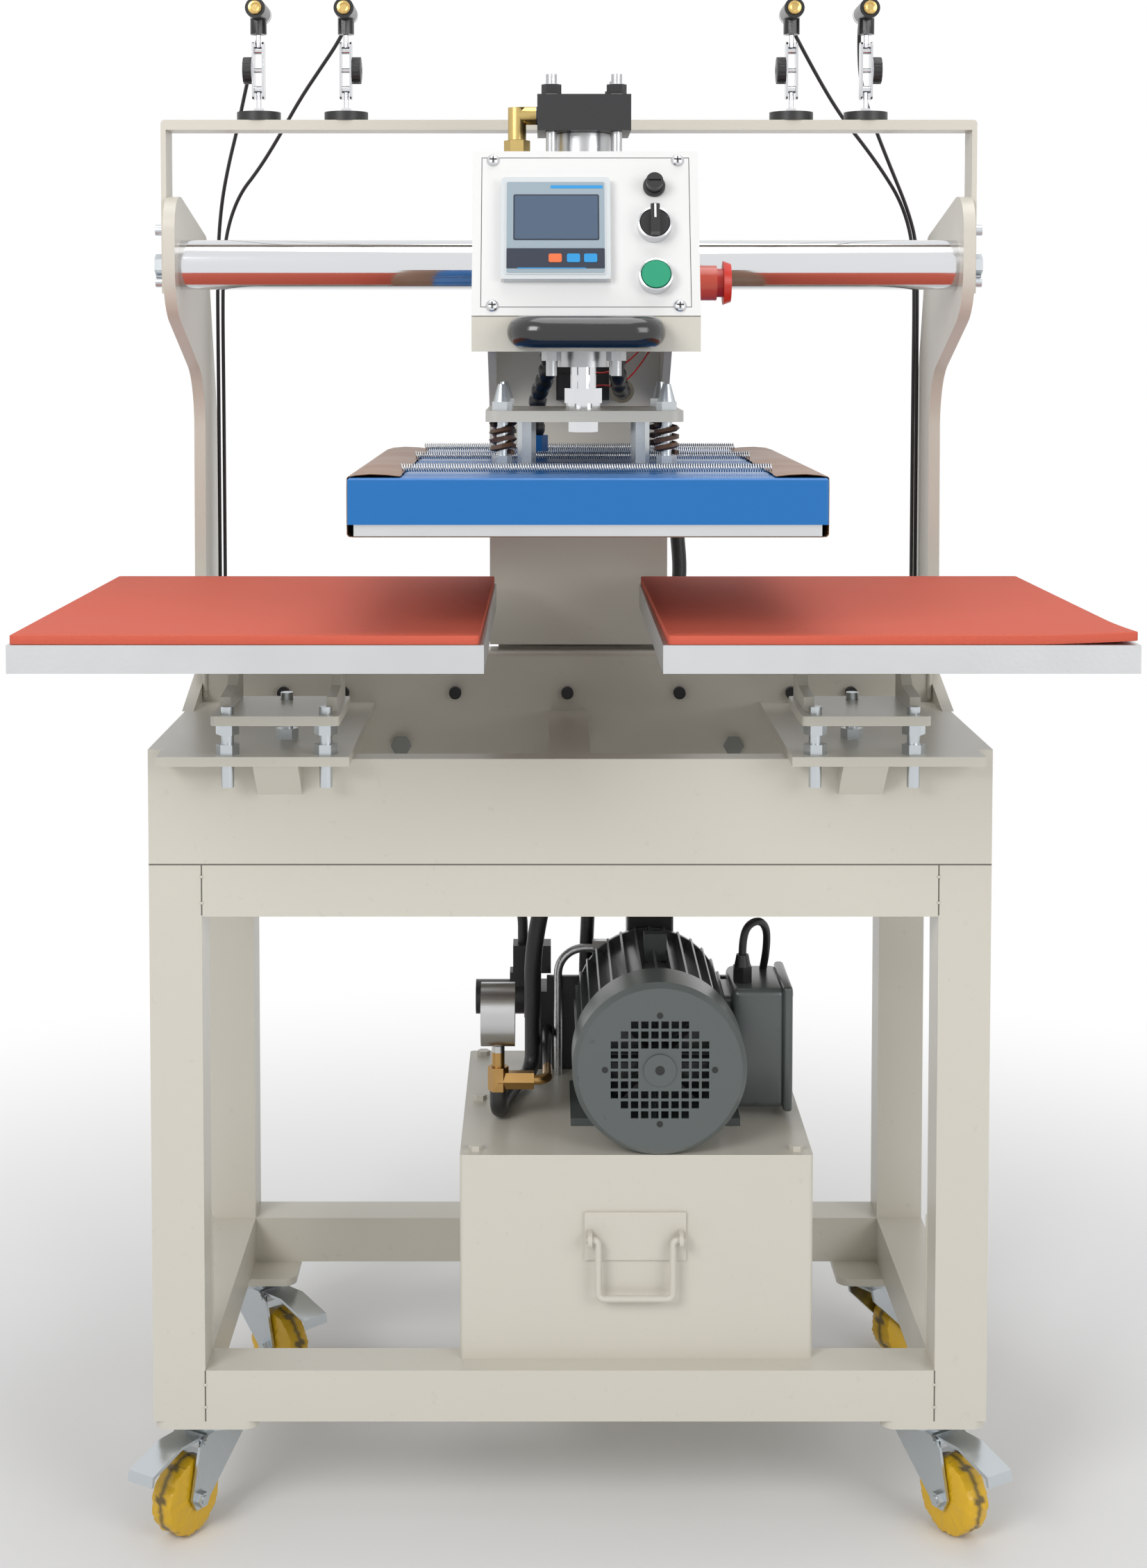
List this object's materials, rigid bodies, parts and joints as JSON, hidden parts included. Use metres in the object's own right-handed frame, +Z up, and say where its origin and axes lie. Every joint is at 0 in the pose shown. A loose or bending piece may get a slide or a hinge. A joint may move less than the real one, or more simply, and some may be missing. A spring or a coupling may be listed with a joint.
{
  "type": "hydraulic heat press",
  "caption": "Hydraulic heat press on a wheeled cart: a sliding press head with a heated platen over two lower platens, with a power unit below and aiming lasers above.",
  "frame": {"origin": "on the floor, under the middle of the machine's outline", "axes": "+X the operator's right, +Y away from the operator, +Z up"},
  "size_m": [0.95, 0.7203, 1.494],
  "materials": {
    "cream_paint": "satin stoved enamel",
    "blue_paint": "satin stoved enamel",
    "motor_enamel": "gloss machine enamel",
    "black_enamel": "satin black",
    "spring_enamel": "brown spring enamel",
    "hard_chrome": "ground and hard chromed",
    "zinc_plate": "bright blue zinc plate",
    "machined_steel": "turned and ground",
    "spring_wire": "drawn wire",
    "milled_aluminium": "milled and sawn",
    "silicone_foam": "matt sponge",
    "hose_rubber": "satin",
    "cable_plastic": "satin",
    "black_plastic": "moulded, satin",
    "gloss_black": "dipped, glossy",
    "panel_film": "satin film",
    "green_lens": "moulded lens",
    "red_plastic": "moulded",
    "yellow_film": "crumpled wrapping film over nylon",
    "coated_cloth": "coated glass cloth"
  },
  "bodies": {
    "frame": {"cart_frame": "cream_paint", "base_box": "cream_paint", "guide_rails": "hard_chrome", "platen_shelves": "cream_paint", "frame_fasteners": "zinc_plate", "platen_brackets": "cream_paint", "lower_platens": "milled_aluminium", "silicone_pads": "silicone_foam", "side_cheeks": "cream_paint", "laser_gantry": "cream_paint", "laser_feet": "gloss_black", "oil_tank": "cream_paint", "motor_body": "motor_enamel", "motor_cowl": "motor_enamel", "valve_gear": "black_enamel", "hydraulic_lines": "hose_rubber", "laser_cables": "cable_plastic"},
    "head": {"head_column": "cream_paint", "head_bearings": "black_enamel", "head_shell": "cream_paint", "control_panel": "panel_film", "handle_grip": "gloss_black", "cylinder_body": "machined_steel", "head_wiring": "black_plastic", "platen_conduit": "black_plastic"},
    "ram": {"piston_rod": "hard_chrome", "pressure_plate": "cream_paint", "spring_studs": "zinc_plate", "die_springs": "spring_enamel", "platen_cover": "blue_paint", "heater_plate": "milled_aluminium", "ptfe_sheet": "coated_cloth", "extension_springs": "spring_wire"},
    "green_button": {"green_button": "green_lens"},
    "estop_button": {"estop_button": "red_plastic"},
    "selector_knob": {"selector_knob": "black_plastic"},
    "fuse_cap": {"fuse_cap": "black_plastic"},
    "bail_handle": {"bail_handle": "cream_paint"},
    "motor_fan": {"motor_fan": "black_plastic"},
    "gauge_needle": {"gauge_needle": "black_plastic"},
    "laser_arm_1": {"laser_arm_1": "hard_chrome"},
    "laser_1": {"laser_1": "black_plastic"},
    "laser_arm_2": {"laser_arm_2": "hard_chrome"},
    "laser_2": {"laser_2": "black_plastic"},
    "laser_arm_3": {"laser_arm_3": "hard_chrome"},
    "laser_3": {"laser_3": "black_plastic"},
    "laser_arm_4": {"laser_arm_4": "hard_chrome"},
    "laser_4": {"laser_4": "black_plastic"},
    "fork_front_left": {"fork_front_left": "zinc_plate"},
    "wheel_front_left": {"wheel_front_left": "yellow_film"},
    "pedal_front_left": {"pedal_front_left": "zinc_plate"},
    "fork_front_right": {"fork_front_right": "zinc_plate"},
    "wheel_front_right": {"wheel_front_right": "yellow_film"},
    "pedal_front_right": {"pedal_front_right": "zinc_plate"},
    "fork_rear_left": {"fork_rear_left": "zinc_plate"},
    "wheel_rear_left": {"wheel_rear_left": "yellow_film"},
    "pedal_rear_left": {"pedal_rear_left": "zinc_plate"},
    "fork_rear_right": {"fork_rear_right": "zinc_plate"},
    "wheel_rear_right": {"wheel_rear_right": "yellow_film"},
    "pedal_rear_right": {"pedal_rear_right": "zinc_plate"}
  },
  "joints": [
    {"name": "head_slide", "type": "slide", "parent": "frame", "child": "head", "axis": [1, 0, 0], "range_m": [-0.287, 0.263]},
    {"name": "ram_slide", "type": "slide", "parent": "head", "child": "ram", "axis": [0, 0, -1], "range_m": [0, 0.0817], "deforming": ["platen_conduit"]},
    {"name": "button_press", "type": "slide", "parent": "head", "child": "green_button", "axis": [0, 0.9403, -0.3404], "range_m": [0, 0.0035], "stiffness_N_per_m": 600},
    {"name": "stop_press", "type": "slide", "parent": "head", "child": "estop_button", "axis": [-1, 0, 0], "range_m": [0, 0.005]},
    {"name": "selector_turn", "type": "hinge", "parent": "head", "child": "selector_knob", "pos_m": [0.0726, -0.23465, 1.25373], "axis": [0, -0.9403, 0.3404], "range_deg": [-45, 45]},
    {"name": "fuse_cap_turn", "type": "hinge", "parent": "head", "child": "fuse_cap", "pos_m": [0.0728, -0.22158, 1.28983], "axis": [0, -0.9403, 0.3404], "range_deg": [0, 90]},
    {"name": "bail_swing", "type": "hinge", "parent": "frame", "child": "bail_handle", "pos_m": [0.0635, -0.095, 0.288], "axis": [-1, 0, 0], "range_deg": [0, 95]},
    {"name": "fan_spin", "type": "hinge", "parent": "frame", "child": "motor_fan", "pos_m": [0.0868, -0.11, 0.452], "axis": [0, 1, 0], "continuous": true},
    {"name": "needle_turn", "type": "hinge", "parent": "frame", "child": "gauge_needle", "pos_m": [-0.086, 0.01, 0.478], "axis": [1, 0, 0], "range_deg": [0, 270]},
    {"name": "laser_arm_tilt_1", "type": "hinge", "parent": "frame", "child": "laser_arm_1", "pos_m": [-0.312, 0.064, 1.406], "axis": [1, 0, 0], "range_deg": [0, 25]},
    {"name": "laser_tilt_1", "type": "hinge", "parent": "laser_arm_1", "child": "laser_1", "pos_m": [-0.312, 0.064, 1.445], "axis": [1, 0, 0], "range_deg": [0, 40]},
    {"name": "laser_arm_tilt_2", "type": "hinge", "parent": "frame", "child": "laser_arm_2", "pos_m": [-0.224, 0.064, 1.406], "axis": [1, 0, 0], "range_deg": [0, 25]},
    {"name": "laser_tilt_2", "type": "hinge", "parent": "laser_arm_2", "child": "laser_2", "pos_m": [-0.224, 0.064, 1.445], "axis": [1, 0, 0], "range_deg": [0, 40]},
    {"name": "laser_arm_tilt_3", "type": "hinge", "parent": "frame", "child": "laser_arm_3", "pos_m": [0.224, 0.064, 1.406], "axis": [1, 0, 0], "range_deg": [0, 25]},
    {"name": "laser_tilt_3", "type": "hinge", "parent": "laser_arm_3", "child": "laser_3", "pos_m": [0.224, 0.064, 1.445], "axis": [1, 0, 0], "range_deg": [0, 40]},
    {"name": "laser_arm_tilt_4", "type": "hinge", "parent": "frame", "child": "laser_arm_4", "pos_m": [0.299, 0.064, 1.406], "axis": [1, 0, 0], "range_deg": [0, 25]},
    {"name": "laser_tilt_4", "type": "hinge", "parent": "laser_arm_4", "child": "laser_4", "pos_m": [0.299, 0.064, 1.445], "axis": [1, 0, 0], "range_deg": [0, 40]},
    {"name": "swivel_front_left", "type": "hinge", "parent": "frame", "child": "fork_front_left", "pos_m": [-0.35, -0.06, 0.1], "axis": [0, 0, 1], "continuous": true},
    {"name": "roll_front_left", "type": "hinge", "parent": "fork_front_left", "child": "wheel_front_left", "pos_m": [-0.37226, -0.09562, 0.038], "axis": [0.848, -0.5299, 0], "continuous": true},
    {"name": "brake_front_left", "type": "hinge", "parent": "fork_front_left", "child": "pedal_front_left", "pos_m": [-0.36802, -0.08883, 0.09], "axis": [0.848, -0.5299, 0], "range_deg": [0, 12]},
    {"name": "swivel_front_right", "type": "hinge", "parent": "frame", "child": "fork_front_right", "pos_m": [0.35, -0.06, 0.1], "axis": [0, 0, 1], "continuous": true},
    {"name": "roll_front_right", "type": "hinge", "parent": "fork_front_right", "child": "wheel_front_right", "pos_m": [0.37226, -0.09562, 0.038], "axis": [0.848, 0.5299, 0], "continuous": true},
    {"name": "brake_front_right", "type": "hinge", "parent": "fork_front_right", "child": "pedal_front_right", "pos_m": [0.36802, -0.08883, 0.09], "axis": [0.848, 0.5299, 0], "range_deg": [0, 12]},
    {"name": "swivel_rear_left", "type": "hinge", "parent": "frame", "child": "fork_rear_left", "pos_m": [-0.35, 0.28, 0.1], "axis": [0, 0, 1], "continuous": true},
    {"name": "roll_rear_left", "type": "hinge", "parent": "fork_rear_left", "child": "wheel_rear_left", "pos_m": [-0.3203, 0.2503, 0.038], "axis": [0.7071, 0.7071, 0], "continuous": true},
    {"name": "brake_rear_left", "type": "hinge", "parent": "fork_rear_left", "child": "pedal_rear_left", "pos_m": [-0.32596, 0.25596, 0.09], "axis": [0.7071, 0.7071, 0], "range_deg": [0, 12]},
    {"name": "swivel_rear_right", "type": "hinge", "parent": "frame", "child": "fork_rear_right", "pos_m": [0.35, 0.28, 0.1], "axis": [0, 0, 1], "continuous": true},
    {"name": "roll_rear_right", "type": "hinge", "parent": "fork_rear_right", "child": "wheel_rear_right", "pos_m": [0.38217, 0.307, 0.038], "axis": [-0.6428, 0.766, 0], "continuous": true},
    {"name": "brake_rear_right", "type": "hinge", "parent": "fork_rear_right", "child": "pedal_rear_right", "pos_m": [0.37605, 0.30185, 0.09], "axis": [-0.6428, 0.766, 0], "range_deg": [0, 12]}
  ]
}
